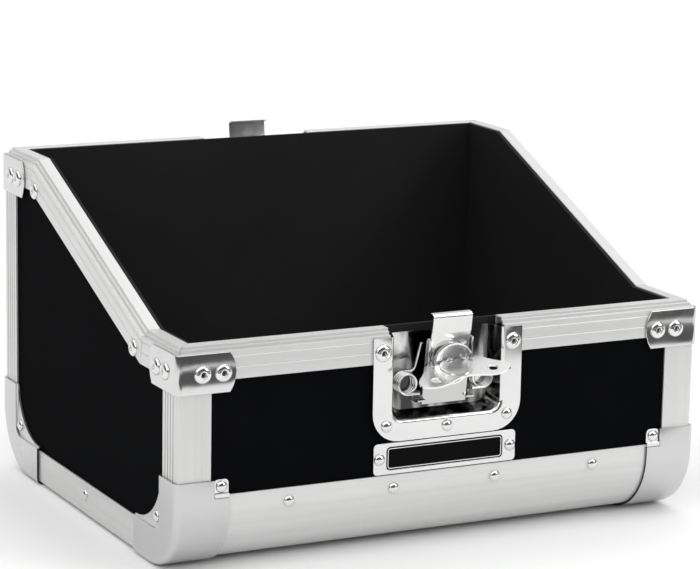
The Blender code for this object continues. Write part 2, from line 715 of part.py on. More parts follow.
def make_corner_covers():
    outer_x = left_x(-COVER_PROUD)
    inner_x = left_x(-GAP)
    land_back = left_x(PANEL_FACE - GAP)
    land_face = land_back - COVER_SKIN
    top = up(COVER_HEIGHT)
    back = front_y(COVER_DEPTH)
    cover = rounded_block("front_left_cover", COVER_PROUD, outer_x, left_x(COVER_WIDTH), top, back)
    hollow = rounded_block("hollow", GAP, inner_x, left_x(COVER_WIDTH + OVERRUN), top + OVERRUN,
                           back + OVERRUN)
    keep = prism("keep", "YZ", land_outline(EDGE_LEG + GAP), inner_x - OVERRUN, land_back, "cover_steel")
    cut(hollow, keep)
    sunk = prism("sunk", "YZ", land_outline(EDGE_LEG + GAP + COVER_STEP), outer_x - OVERRUN, land_face,
                 "cover_steel")
    centre = (back, top)
    window_low = top - COVER_WINDOW_HEIGHT
    window = arc(centre, COVER_WINDOW_WIDTH, 180, 270, 9, COVER_WINDOW_HEIGHT / COVER_WINDOW_WIDTH)
    window += [(back + OVERRUN, window_low), (back + OVERRUN, top + OVERRUN),
               (back - COVER_WINDOW_WIDTH, top + OVERRUN)]
    window = prism("window", "YZ", window, outer_x - OVERRUN, left_x(PANEL_BACK), "cover_steel")
    notch = box("notch", (left_x(COVER_WIDTH - CLIP_WIDTH - GAP), front_y(-COVER_PROUD - OVERRUN),
                          up(ROLL_EDGE - CLIP_SHEET - GAP)),
                (left_x(COVER_WIDTH + OVERRUN), front_y(OVERRUN), top + OVERRUN), "cover_steel")
    cut(cover, hollow, sunk, window, notch)
    fuse(cover, small_rivet((land_face, front_y(COVER_RIVET_IN), up(COVER_RIVET_UP)), (-1, 0, 0)))
    smooth(cover)
    for name, matrix in (("front_right", MIRROR_X), ("back_left", MIRROR_Y), ("back_right", MIRROR_X @ MIRROR_Y)):
        moved_copy(cover, name + "_cover", matrix)


def make_corner_clips():
    """Clip on the panel that holds down the roll and the cover with its folded lip."""
    seat = ROLL_EDGE + GAP
    lip_low = ROLL_EDGE - CLIP_SHEET
    lip_face = -COVER_PROUD
    section = [(CLIP_SHEET, seat), (-GAP, seat), (-GAP, lip_low), (lip_face, lip_low),
               (lip_face, seat + CLIP_SHEET), (0, seat + CLIP_SHEET), (0, seat + CLIP_HEIGHT),
               (CLIP_SHEET, seat + CLIP_HEIGHT)]
    outline = [(front_y(inward), up(height)) for inward, height in section]
    start = left_x(COVER_WIDTH - CLIP_WIDTH)
    end = left_x(COVER_WIDTH)
    clip = prism("front_left_clip", "YZ", outline, start, end, "bright_steel")
    top = up(seat + CLIP_HEIGHT)
    shape = [(start, up(lip_low - OVERRUN)), (end, up(lip_low - OVERRUN))]
    shape += arc((end - CLIP_RADIUS, top - CLIP_RADIUS), CLIP_RADIUS, 0, 90, 4)
    shape += arc((start + CLIP_RADIUS, top - CLIP_RADIUS), CLIP_RADIUS, 90, 180, 4)
    trim(clip, prism("shape", "XZ", shape, front_y(lip_face - OVERRUN), front_y(PANEL_BACK), "bright_steel"))
    fuse(clip, small_rivet(((start + end) / 2, front_y(0), top - CLIP_RIVET_DROP), (0, -1, 0)))
    smooth(clip)
    for name, matrix in (("front_right", MIRROR_X), ("back_left", MIRROR_Y), ("back_right", MIRROR_X @ MIRROR_Y)):
        moved_copy(clip, name + "_clip", matrix)


# Top corner brackets

def bracket_end(name, reach, plane, start, end):
    """Cutter that leaves a bracket arm with a bulging end and clipped corners."""
    middle = up((BRACKET_BOTTOM + BRACKET_TOP) / 2)
    half = (BRACKET_TOP - BRACKET_BOTTOM) / 2
    radius = (half * half + BRACKET_END_BULGE * BRACKET_END_BULGE) / (2 * BRACKET_END_BULGE)
    swing = math.degrees(math.asin(half / radius))
    curve = arc((reach - radius, middle), radius, -swing, swing, 6)
    low = (curve[0][0], middle - half - OVERRUN)
    high = (curve[-1][0], middle + half + OVERRUN)
    far = reach + OVERRUN
    outline = [low] + curve + [high, (far, high[1]), (far, low[1])]
    return prism(name, plane, outline, start, end, "bright_steel")


def make_brackets():
    outer = EDGE_RADIUS + GAP + BRACKET_SHEET
    inner = EDGE_RADIUS + GAP
    centre = (left_x(EDGE_RADIUS), front_y(EDGE_RADIUS))
    face_x = left_x(-GAP - BRACKET_SHEET)
    face_y = front_y(-GAP - BRACKET_SHEET)
    far_x = left_x(BRACKET_FRONT_ARM)
    far_y = front_y(BRACKET_SIDE_ARM)
    outline = arc(centre, outer, 180, 270, 5) + [(far_x, face_y), (far_x, front_y(-GAP))]
    outline += arc(centre, inner, 270, 180, 4) + [(left_x(-GAP), far_y), (face_x, far_y)]
    low = up(BRACKET_BOTTOM)
    high = up(BRACKET_TOP)
    bracket = prism("front_left_bracket", "XY", outline, low, high, "bright_steel")
    cut(bracket, bracket_end("front_end", far_x, "XZ", face_y - OVERRUN, front_y(OVERRUN)),
        bracket_end("side_end", far_y, "YZ", face_x - OVERRUN, left_x(OVERRUN)))
    rivet_up = high - BRACKET_RIVET_DROP
    heads = [big_rivet((left_x(place), face_y, rivet_up), (0, -1, 0)) for place in BRACKET_RIVETS]
    heads += [big_rivet((face_x, front_y(place), rivet_up), (-1, 0, 0)) for place in BRACKET_RIVETS]
    fuse(bracket, *heads)
    smooth(bracket)
    moved_copy(bracket, "front_right_bracket", MIRROR_X)
    rise = Matrix.Translation((0, 0, LATCH_RISE))
    moved_copy(bracket, "back_left_bracket", rise @ MIRROR_Y)
    moved_copy(bracket, "back_right_bracket", rise @ MIRROR_X @ MIRROR_Y)


# Name plate

def rounded_rectangle(half_width, low, high, radius, steps=4):
    corners = ((half_width, high, 0), (-half_width, high, 90), (-half_width, low, 180), (half_width, low, 270))
    points = []
    for across, level, start in corners:
        centre = (across - math.copysign(radius, across), level + (radius if level == low else -radius))
        points += arc(centre, radius, start, start + 90, steps)
    return points


def make_name_plate():
    low = up(ROLL_EDGE + PLATE_CLEAR)
    high = low + PLATE_HEIGHT
    middle = (low + high) / 2
    face = front_y(PANEL_FACE - GAP - PLATE_SHEET)
    outline = rounded_rectangle(PLATE_WIDTH / 2, low, high, PLATE_CORNER)
    plate = prism("name_plate", "XZ", outline, face, face + PLATE_SHEET, "bright_steel")
    half = PLATE_FIELD_HEIGHT / 2
    field = rounded_rectangle(PLATE_FIELD_WIDTH / 2, middle - half, middle + half, PLATE_FIELD_CORNER)
    cut(plate, prism("field", "XZ", field, face - OVERRUN, face + PLATE_FIELD_DEPTH, "bright_steel"))
    heads = [small_rivet((side * PLATE_RIVET_SPACING / 2, face, middle), (0, -1, 0)) for side in (-1, 1)]
    fuse(plate, *heads)
    smooth(plate)


# Latches. Each piece is drawn for the front latch; the back latch is the same one turned about.

def latch_places():
    about = Matrix.Translation((0, 0, LATCH_RISE)) @ Matrix.Rotation(math.pi, 4, "Z")
    return (("front", Matrix.Identity(4)), ("back", about))


def tilt_frame():
    """Frame of the carrier at rest: origin on the hinge pin, -Y out of the case, Z up the carrier."""
    place = Matrix.Translation((0, front_y(TILT_AXIS_IN), up(TILT_AXIS_UP)))
    return place @ Matrix.Rotation(REST_TILT, 4, "X")


def spindle_frame():
    """Frame of the spindle: origin where its axis meets the carrier's hinge plane, -Y outward."""
    return tilt_frame() @ Matrix.Translation((0, 0, SPINDLE_UP))


def wing_frame():
    """Frame of the wing as it stands out: X along the cross pin, -Y out to its edge, Z its upper face."""
    turned_frame = spindle_frame() @ Matrix.Rotation(-WING_TURN, 4, "Y")
    axis = turned_frame @ Matrix.Translation((0, -WING_AXIS, -WING_AXIS_DROP))
    return axis @ Matrix.Rotation(WING_DROOP, 4, "X")


def place_copies(item, frame):
    """Put the front piece at its frame and its twin at the back, origins on their joint's axis."""
    name = item.name
    item.matrix_world = frame
    item.name = "front_" + name
    item.data.name = item.name
    mesh = item.data.copy()
    mesh.name = "back_" + name
    twin = bpy.data.objects.new(mesh.name, mesh)
    bpy.context.scene.collection.objects.link(twin)
    twin.matrix_world = latch_places()[1][1] @ frame


def pocket_outline(depth, grow, top):
    """Inner line of the dish pocket at a depth behind the flange's face, grown by a sheet's thickness."""
    share = depth / (POCKET_DEPTH + FLANGE_FACE)
    half = POCKET_HALF + (POCKET_BACK_HALF - POCKET_HALF) * share + grow
    low = up(POCKET_BOTTOM + (POCKET_BACK_BOTTOM - POCKET_BOTTOM) * share - grow)
    radius = POCKET_CORNER + grow
    left = arc((radius - half, low + radius), radius, 180, 270, 5)
    right = arc((half - radius, low + radius), radius, 270, 360, 5)
    return [(-half, top)] + left + right + [(half, top)]


def pocket_block(name, stations, top):
    """Solid through the pocket's outline at pairs of depth and growth."""
    rings = []
    for depth, grow in stations:
        level = front_y(depth - FLANGE_FACE)
        rings.append([in_plane("XZ", point, level) for point in pocket_outline(depth, grow, top)])
    return solid_from_rings(name, rings, "bright_steel")


def hinge_lug(name, start, end, radius, root):
    """Ear in YZ round the hinge pin, from start to end along X, rooted at a depth."""
    centre = (front_y(TILT_AXIS_IN), up(TILT_AXIS_UP))
    outline = arc(centre, radius, 90, 270, 8) + [(root, centre[1] - radius), (root, centre[1] + radius)]
    return prism(name, "YZ", outline, start, end, "bright_steel")


def across_pin(name, radius, half, sides, finish, place=Matrix.Identity(4)):
    """Round bar along X, centred on its place."""
    return cylinder(name, radius, -half, half, sides, finish, place @ Matrix.Rotation(math.pi / 2, 4, "Y"))


def make_dish():
    top = up(DISH_TOP)
    low = up(DISH_BOTTOM)
    half = DISH_FLANGE_HALF
    radius = DISH_FLANGE_CORNER
    outline = [(-half, top)] + arc((radius - half, low + radius), radius, 180, 270, 8)
    outline += arc((half - radius, low + radius), radius, 270, 360, 8) + [(half, top)]
    dish = prism("latch_dish", "XZ", outline, front_y(-FLANGE_FACE), front_y(-GAP), "bright_steel")
    shell_back = POCKET_DEPTH + FLANGE_FACE + DISH_SHEET
    fuse(dish, pocket_block("shell", ((DISH_SHEET / 2, DISH_SHEET), (shell_back, DISH_SHEET)), top))
    lip = [(-OVERRUN, POCKET_LIP)]
    for step in range(LIP_STEPS + 1):
        angle = math.pi / 2 * step / LIP_STEPS
        lip.append((POCKET_LIP * (1 - math.cos(angle)), POCKET_LIP * (1 - math.sin(angle))))
    cut(dish, pocket_block("hollow", lip + [(POCKET_DEPTH + FLANGE_FACE, 0)], top + OVERRUN))

    root = front_y(LEG_BACK - DISH_SHEET / 2)
    parts = []
    for side in (-1, 1):
        parts.append(hinge_lug("lug", side * LUG_FACE, side * (LUG_FACE + DISH_SHEET), LUG_RADIUS, root))
        post = facing((side * SPRING_SIDE, root, up(SPRING_UP)), (0, -1, 0))
        parts.append(cylinder("post", SPRING_POST_RADIUS, 0, SPRING_POST_LENGTH, 12, "bright_steel", post))
        parts.append(big_rivet((side * FLANGE_BIG_RIVET_SIDE, front_y(-FLANGE_FACE), up(FLANGE_BIG_RIVET_UP)),
                               (0, -1, 0)))
        parts.append(small_rivet((side * FLANGE_SMALL_RIVET_SIDE, front_y(-FLANGE_FACE),
                                  up(FLANGE_SMALL_RIVET_UP)), (0, -1, 0)))
    parts.append(small_rivet((0, front_y(-FLANGE_FACE), up(FLANGE_MIDDLE_RIVET_UP)), (0, -1, 0)))
    fuse(dish, *parts)
    axis = Matrix.Translation((0, front_y(TILT_AXIS_IN), up(TILT_AXIS_UP)))
    reach = LUG_FACE + DISH_SHEET + OVERRUN
    cut(dish, across_pin("pin_hole", HINGE_PIN_RADIUS + PIN_CLEARANCE, reach, 16, "bright_steel", axis))
    smooth(dish)
    place_copies(dish, Matrix.Identity(4))


def make_hinge_pin():
    pin = across_pin("latch_hinge_pin", HINGE_PIN_RADIUS, HINGE_PIN_HALF, 16, "bright_steel")
    smooth(pin)
    place_copies(pin, tilt_frame())


def spring_points(side):
    """Wire from the front curl's short leg, back through the curls and up the long leg."""
    back = POCKET_DEPTH - GAP - SPRING_WIRE / 2
    length = SPRING_PITCH * SPRING_TURNS
    front = back - length
    points = [Vector((SPRING_SHORT_LEG, front, -SPRING_RADIUS))]
    steps = round(SPRING_CURL_POINTS * SPRING_TURNS)
    for step in range(steps + 1):
        turn = 2 * math.pi * step / SPRING_CURL_POINTS
        points.append(Vector((-SPRING_RADIUS * math.sin(turn), front + length * step / steps,
                              -SPRING_RADIUS * math.cos(turn))))
    points += [Vector((SPRING_RADIUS, back, SPRING_RADIUS)),
               Vector((SPRING_BEND_SIDE, SPRING_BEND_DEPTH, SPRING_BEND_UP)),
               Vector((SPRING_TIP_SIDE, SPRING_TIP_DEPTH, SPRING_TIP_UP))]
    return [Vector((-side * point.x, point.y, point.z)) for point in points]


def least_self_gap(points, wire):
    """Least distance between the wire's own turns, measured on points close together along it."""
    dense = []
    for start, end in zip(points, points[1:]):
        count = max(1, round((end - start).length / (wire / 8)))
        dense += [start.lerp(end, step / count) for step in range(count)]
    dense.append(points[-1])
    travel = [0.0]
    for start, end in zip(dense, dense[1:]):
        travel.append(travel[-1] + (end - start).length)
    least = math.inf
    for first in range(len(dense)):
        for second in range(first + 1, len(dense)):
            if travel[second] - travel[first] > 2 * math.pi * wire:
                least = min(least, (dense[first] - dense[second]).length - wire)
    return least


def make_springs():
    for side, word in ((-1, "left"), (1, "right")):
        points = spring_points(side)
        print(word, "spring, least gap to itself in mm:", round(least_self_gap(points, SPRING_WIRE) / MM, 3))
        wire = bpy.data.curves.new("latch_spring_" + word, "CURVE")
        wire.dimensions = "3D"
        wire.bevel_depth = SPRING_WIRE / 2
        wire.bevel_resolution = 1
        wire.use_fill_caps = True
        spline = wire.splines.new("POLY")
        spline.points.add(len(points) - 1)
        for spot, point in zip(spline.points, points):
            spot.co = (*point, 1.0)
        colour, roughness, metallic = FINISHES["spring_steel"]
        wire.materials.append(make_material(wire.name, colour, roughness, metallic))
        spring = bpy.data.objects.new(wire.name, wire)
        bpy.context.scene.collection.objects.link(spring)
        place = Matrix.Translation((side * SPRING_SIDE, front_y(0), up(SPRING_UP)))
        place_copies(spring, place)


def make_carrier():
    """Plate that swings on the hinge pin, with an ear round the pin and a flange on each side."""
    low = -CARRIER_BELOW
    plate = box("latch_carrier", (-CARRIER_HALF, -CARRIER_FACE, low),
                (CARRIER_HALF, -CARRIER_BACK, CARRIER_ABOVE), "bright_steel")
    inner = CARRIER_HALF - CARRIER_SHEET
    ear = arc((0, 0), 2 * HINGE_PIN_RADIUS, 90, -90, 8) + [
        (-CARRIER_FACE, -2 * HINGE_PIN_RADIUS), (-CARRIER_FACE, 2 * HINGE_PIN_RADIUS)]
    parts = []
    for side in (-1, 1):
        parts.append(prism("ear", "YZ", ear, side * inner, side * CARRIER_HALF, "bright_steel"))
        near = min(side * inner, side * CARRIER_HALF)
        parts.append(box("flange", (near, -CARRIER_FLANGE_FRONT, CARRIER_FLANGE_START),
                         (near + CARRIER_SHEET, -CARRIER_BACK, CARRIER_ABOVE), "bright_steel"))
        tab_top = CARRIER_SHEET - CARRIER_TAB_DROP
        parts.append(box("root", (near, -CARRIER_TAB_FRONT, -CARRIER_TAB_DROP),
                         (near + CARRIER_SHEET, -CARRIER_BACK, tab_top), "bright_steel"))
        near = min(side * inner, side * CARRIER_TAB_HALF)
        parts.append(box("tab", (near, -CARRIER_TAB_FRONT, -CARRIER_TAB_DROP),
                         (near + CARRIER_TAB_HALF - inner, -CARRIER_TAB_BACK, tab_top), "bright_steel"))
    fuse(plate, *parts)
    cut(plate, across_pin("pin_hole", HINGE_PIN_RADIUS + PIN_CLEARANCE, CARRIER_HALF + OVERRUN, 16,
                          "bright_steel"),
        cylinder("shaft_hole", SPINDLE_RADIUS + GAP, 0, CARRIER_FACE + OVERRUN, 20, "bright_steel",
                 Matrix.Translation((0, 0, SPINDLE_UP)) @ OUTWARD))
    smooth(plate)
    place_copies(plate, tilt_frame())


def make_hook():
    """Sliding plate with a slot for the eccentric, and a lip curled inward over the lid's catch."""
    upper = HOOK_FACE + HOOK_JOGGLE
    centre = (HOOK_CURL_RADIUS - upper, HOOK_TOP)
    lip_top = HOOK_TOP + HOOK_CURL_RADIUS
    lip_end = centre[0] + HOOK_LIP
    outline = [(-HOOK_FACE, HOOK_BOTTOM), (-HOOK_FACE, HOOK_JOGGLE_UP - HOOK_JOGGLE),
               (-upper, HOOK_JOGGLE_UP + HOOK_JOGGLE)]
    outline += arc(centre, HOOK_CURL_RADIUS, 180, 90, 5)
    outline += [(lip_end, lip_top), (lip_end, lip_top - HOOK_SHEET)]
    outline += arc(centre, HOOK_CURL_RADIUS - HOOK_SHEET, 90, 180, 4)
    outline += [(HOOK_SHEET - upper, HOOK_JOGGLE_UP + HOOK_JOGGLE), (-HOOK_BACK, HOOK_JOGGLE_UP - HOOK_JOGGLE),
                (-HOOK_BACK, HOOK_BOTTOM)]
    hook = prism("latch_hook", "YZ", outline, -HOOK_HALF, HOOK_HALF, "bright_steel")
    radius = CAM_RADIUS + CAM_CLEARANCE
    middle = SPINDLE_UP + CAM_THROW
    reach = CAM_RADIUS + CAM_THROW + 2 * GAP - radius
    slot = arc((reach, middle), radius, -90, 90, 8) + arc((-reach, middle), radius, 90, 270, 8)
    cut(hook, prism("slot", "XZ", slot, -CUP_BACK, -CARRIER_FACE, "bright_steel"))
    smooth(hook)
    place_copies(hook, tilt_frame())


def make_spindle():
    """Turning piece: tail head, shaft, eccentric and cup, with bearings for the wing's cross pin."""
    mouth = CUP_MOUTH_RADIUS
    inner_floor = CUP_BACK + CUP_SHEET
    shaft_end = (CARRIER_FACE + HOOK_BACK) / 2 + GAP / 3
    head_front = CARRIER_BACK - GAP
    head = [(0, head_front - SPINDLE_HEAD_HEIGHT), (SPINDLE_HEAD_RADIUS, head_front - SPINDLE_HEAD_HEIGHT),
            (SPINDLE_HEAD_RADIUS, head_front), (SPINDLE_RADIUS, head_front), (SPINDLE_RADIUS, shaft_end),
            (0, shaft_end)]
    spindle = turned("latch_spindle", head, 20, "bright_steel", OUTWARD)
    cam_start = shaft_end - GAP / 3
    cam = cylinder("cam", CAM_RADIUS, cam_start, CUP_BACK + CUP_SHEET / 2, 24, "bright_steel",
                   Matrix.Translation((0, 0, CAM_THROW)) @ OUTWARD)
    cup = [(0, CUP_BACK), (mouth * 0.63, CUP_BACK), (mouth * 0.85, CUP_BACK + CUP_DEPTH * 0.15),
           (mouth * 0.97, CUP_BACK + CUP_DEPTH * 0.5), (mouth, CUP_MOUTH), (mouth - CUP_SHEET, CUP_MOUTH),
           (mouth * 0.97 - CUP_SHEET, CUP_BACK + CUP_DEPTH * 0.52),
           (mouth * 0.85 - CUP_SHEET * 0.8, inner_floor + CUP_DEPTH * 0.07), (mouth * 0.6, inner_floor),
           (CUP_RIVET_RADIUS, inner_floor), (CUP_RIVET_RADIUS * 0.85, inner_floor + CUP_RIVET_HEIGHT * 0.7),
           (CUP_RIVET_RADIUS * 0.4, inner_floor + CUP_RIVET_HEIGHT), (0, inner_floor + CUP_RIVET_HEIGHT)]
    cup = turned("cup", cup, 28, "bright_steel", OUTWARD)
    out = -WING_AXIS
    ends = mouth + OVERRUN
    bearing = WING_BEARING_RADIUS
    path = [(out + WING_SLOT_BACK, WING_SLOT_TOP), (out + WING_SLOT_BACK, bearing), (out, bearing)]
    path += arc((out, 0), bearing, 90, 180, 5)[1:]
    path += [(out - bearing, -ends), (-CUP_MOUTH - OVERRUN, -ends), (-CUP_MOUTH - OVERRUN, WING_SLOT_TOP)]
    turn = Matrix.Rotation(-WING_TURN, 4, "Y")
    path = prism("path", "YZ", path, -ends, ends, "bright_steel")
    path.data.transform(turn @ Matrix.Translation((0, 0, -WING_AXIS_DROP)))
    axis = turn @ Matrix.Translation((0, out, -WING_AXIS_DROP))
    hole = across_pin("hole", WING_PIN_RADIUS + WING_PIN_FIT, ends, 12, "bright_steel", axis)
    cut(cup, path, hole)
    fuse(spindle, cam, cup)
    smooth(spindle, 30)
    place_copies(spindle, spindle_frame())


def make_wing_pin():
    pin = across_pin("latch_wing_pin", WING_PIN_RADIUS, WING_PIN_HALF, 12, "bright_steel")
    smooth(pin)
    place_copies(pin, wing_frame())


def make_wing():
    """Butterfly wing with two ears, a raised disc over the cup, and knuckles round its cross pin."""
    low = WING_OFFSET
    half = [(across * WING_HALF_SPAN, -out * WING_REACH) for across, out in WING_HALF_SHARES]
    outline = half + [(-across, out) for across, out in reversed(half)]
    wing = prism("latch_wing", "XY", outline, low, low + WING_SHEET, "bright_steel")
    disc = cylinder("disc", WING_DISC_RADIUS, low, low + WING_SHEET + WING_DISC_RAISE, 32, "bright_steel",
                    Matrix.Translation((0, -WING_DISC_OUT, 0)))
    tail = 2 * WING_DISC_RADIUS
    cut(disc, box("tail", (-tail, WING_DISC_TAIL, -OVERRUN), (tail, tail, tail), "bright_steel"))
    knuckle = (WING_BARREL_HALF - WING_BARREL_PART) / 2
    knuckles = [across_pin("knuckle", WING_BARREL_RADIUS, knuckle, 16, "bright_steel",
                           Matrix.Translation((side * (WING_BARREL_PART + knuckle), 0, 0))) for side in (-1, 1)]
    fuse(wing, disc, *knuckles)
    cut(wing, across_pin("bore", WING_PIN_RADIUS + PIN_CLEARANCE, CUP_MOUTH_RADIUS, 12, "bright_steel"),
        cylinder("notch", WING_NOTCH_RADIUS, low, 2 * WING_SLOT_TOP, 16, "bright_steel",
                 Matrix.Translation((0, WING_DISC_TAIL, 0))),
        *[cylinder("ear_hole", WING_HOLE_RADIUS, 0, 2 * WING_SLOT_TOP, 20, "bright_steel",
                   Matrix.Translation((side * WING_HOLE_SIDE, -WING_HOLE_OUT, 0))) for side in (-1, 1)])
    smooth(wing)
    place_copies(wing, wing_frame())


if __name__ == "__main__":
    clear_scene()
    make_end_panels()
    make_side_panels()
    make_bottom_panel()
    make_linings()
    make_rolls()
    make_bottom_edges()
    make_posts()
    make_rims()
    make_corner_covers()
    make_corner_clips()
    make_brackets()
    make_name_plate()
    make_dish()
    make_hinge_pin()
    make_springs()
    make_carrier()
    make_hook()
    make_spindle()
    make_wing_pin()
    make_wing()
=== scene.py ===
"""Looks of the open record carrying case: fine surfaces, finishes, light and camera."""
import math

import bmesh
import bpy
from mathutils import Matrix, Vector


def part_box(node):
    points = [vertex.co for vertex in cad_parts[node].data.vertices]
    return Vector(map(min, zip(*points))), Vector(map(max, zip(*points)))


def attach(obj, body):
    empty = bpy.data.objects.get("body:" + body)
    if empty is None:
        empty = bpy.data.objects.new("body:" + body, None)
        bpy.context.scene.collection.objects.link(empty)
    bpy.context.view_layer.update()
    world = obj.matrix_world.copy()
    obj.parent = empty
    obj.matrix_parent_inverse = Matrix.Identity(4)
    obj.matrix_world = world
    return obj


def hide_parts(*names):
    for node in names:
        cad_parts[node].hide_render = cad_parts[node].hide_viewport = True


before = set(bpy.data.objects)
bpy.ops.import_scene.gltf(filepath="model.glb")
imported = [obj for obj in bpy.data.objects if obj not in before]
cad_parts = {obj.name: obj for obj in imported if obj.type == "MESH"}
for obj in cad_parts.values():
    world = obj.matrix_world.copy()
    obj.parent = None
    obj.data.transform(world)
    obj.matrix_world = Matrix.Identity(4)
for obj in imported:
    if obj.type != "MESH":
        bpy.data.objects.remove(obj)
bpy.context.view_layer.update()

MM = 0.001
GAP = 0.3 * MM

# Overall sizes, read from the frame
HALF_WIDTH = -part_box("front_left_post")[0].x
HALF_DEPTH = -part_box("front_left_post")[0].y
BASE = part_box("front_bottom_roll")[0].z
TONGUE = 4.0 * MM
FRONT_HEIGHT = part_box("front_left_rim")[1].z - BASE - TONGUE
BACK_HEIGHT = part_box("back_left_rim")[1].z - BASE - TONGUE
RISE = BACK_HEIGHT - FRONT_HEIGHT

# Rivets
BIG_RADIUS = 5.6 * MM
BIG_HEIGHT = 2.1 * MM
BIG_HOLE = 1.6 * MM
BIG_CREST_SHARE = 0.43
BIG_FOOT_SHARE = 0.6
BIG_DOME_SHARE = 0.4
SMALL_RADIUS = 3.8 * MM
SMALL_HEIGHT = 2.3 * MM
RIVET_SINK = 0.3 * MM
RIVET_SIDES = 40
DOME_STEPS = 8
BRACKET_FACE = 1.4 * MM
BRACKET_RIVETS = (16.0 * MM, 29.8 * MM)
BRACKET_RIVET_DROP = 13.1 * MM
SLOPE_START = 55.0 * MM
SLOPE_RIVET_DROP = 14.6 * MM
SLOPE_RIVET_FRONT = 9.2 * MM
SLOPE_RIVET_BACK = 9.7 * MM
COVER_RIVET = (-0.1 * MM, 30.5 * MM, 32.0 * MM)
COVER_WIDTH = 34.5 * MM
COVER_DEPTH = 65.0 * MM
CLIP_RIVET = (29.6 * MM, 55.7 * MM)
ROLL_RIVET_PITCH = 73.0 * MM
ROLL_RIVET_UP = 41.5 * MM
EDGE_RIVET_UP = 14.0 * MM
PLATE_RIVET_SIDE = 47.0 * MM
PLATE_MIDDLE = 60.8 * MM
FIELD_HALF = (42.0 * MM, 7.7 * MM)
FIELD_CORNER = 3.0 * MM
FIELD_FACE = 0.35 * MM
FIELD_LINE_IN = 1.1 * MM
FIELD_LINE_WIDTH = 0.5 * MM
FIELD_LINE_HEIGHT = 0.15 * MM
OUTLINE_STEPS = 6
POST_CORNER = 2.8 * MM
POST_EDGE = 0.05 * MM
GROOVE_NEAR = 0.06 * MM
GROOVE_FAR = 0.5 * MM
FACING_SHARE = 0.9
FLANGE_FACE = 1.5 * MM
DISH_SHEET = 1.2 * MM
FLANGE_BIG = (46.4 * MM, 10.7 * MM)
FLANGE_SMALL = (43.2 * MM, 58.1 * MM)
FLANGE_MIDDLE = 61.5 * MM

# Latch
SPRING_SIDE = 26.9 * MM
SPRING_DROP = 33.3 * MM
SPRING_RADIUS = 6.5 * MM
SPRING_WIRE = 1.8 * MM
SPRING_PITCH = 2.35 * MM
SPRING_TURNS = 3.5
SPRING_CURL_POINTS = 40
SPRING_BACK = 9.6 * MM
SPRING_SHORT_LEG = 8.1 * MM
SPRING_BEND = (8.4 * MM, 9.0 * MM, 8.3 * MM)
SPRING_TIP = (9.5 * MM, 3.0 * MM, 25.8 * MM)


# Materials

class Graph:
    """Short calls for building a node tree round one Principled shader."""

    def __init__(self, name):
        self.material = bpy.data.materials.new(name)
        self.material.use_nodes = True
        self.nodes = self.material.node_tree.nodes
        self.links = self.material.node_tree.links
        self.shader = self.nodes["Principled BSDF"]

    def set(self, **values):
        for key, value in values.items():
            self.shader.inputs[key.replace("_", " ")].default_value = value

    def put(self, kind, **values):
        node = self.nodes.new(kind)
        for key, value in values.items():
            if key in node.inputs:
                node.inputs[key].default_value = value
            else:
                setattr(node, key, value)
        return node

    def join(self, start, end):
        self.links.new(start, end)

    def place(self, scale=(1, 1, 1), turn=(0, 0, 0), source="Object"):
        """Coordinates turned, and then stretched."""
        coordinates = self.put("ShaderNodeTexCoord")
        first = self.put("ShaderNodeMapping")
        first.inputs["Rotation"].default_value = turn
        second = self.put("ShaderNodeMapping")
        second.inputs["Scale"].default_value = scale
        self.join(coordinates.outputs[source], first.inputs["Vector"])
        self.join(first.outputs["Vector"], second.inputs["Vector"])
        return second.outputs["Vector"]

    def noise(self, vector, scale, detail=3.0, roughness=0.55):
        node = self.put("ShaderNodeTexNoise", Scale=scale, Detail=detail, Roughness=roughness)
        self.join(vector, node.inputs["Vector"])
        return node.outputs["Fac"]

    def ramp(self, factor, low, high, start=0.3, end=0.7):
        node = self.put("ShaderNodeMapRange")
        for key, value in (("From Min", start), ("From Max", end), ("To Min", low), ("To Max", high)):
            node.inputs[key].default_value = value
        self.join(factor, node.inputs["Value"])
        return node.outputs["Result"]

    def tint(self, factor, low, high):
        node = self.put("ShaderNodeMix", data_type="RGBA")
        colours = [socket for socket in node.inputs if socket.type == "RGBA"]
        colours[0].default_value = (*low, 1.0)
        colours[1].default_value = (*high, 1.0)
        self.join(factor, node.inputs["Factor"])
        return [socket for socket in node.outputs if socket.type == "RGBA"][0]

    def bump(self, height, strength, distance, before=None):
        node = self.put("ShaderNodeBump", Strength=strength, Distance=distance)
        self.join(height, node.inputs["Height"])
        if before is not None:
            self.join(before, node.inputs["Normal"])
        return node.outputs["Normal"]

    def paint(self, **sockets):
        for key, socket in sockets.items():
            self.join(socket, self.shader.inputs[key.replace("_", " ")])


def grey(value, warm=0.0):
    return (value * (1 + warm), value, value * (1 - warm))


def aluminium(name, along, turn=(0.0, 0.0, 0.0)):
    """Satin anodised extrusion, with fine drawn lines along one axis."""
    graph = Graph(name)
    scale = [1.0, 1.0, 1.0]
    scale["XYZ".index(along)] = 0.008
    drawn = graph.place(scale, turn)
    lines = graph.noise(drawn, 1300.0, 2.0)
    bands = graph.noise(drawn, 210.0, 2.0)
    cloud = graph.noise(graph.place(), 22.0, 4.0)
    graph.set(Metallic=0.6)
    graph.paint(Base_Color=graph.tint(graph.ramp(bands, 0.0, 1.0), grey(0.65, 0.003), grey(0.705, 0.006)),
                Roughness=graph.ramp(cloud, 0.36, 0.44), Normal=graph.bump(lines, 0.07, 0.0001))
    return graph.material


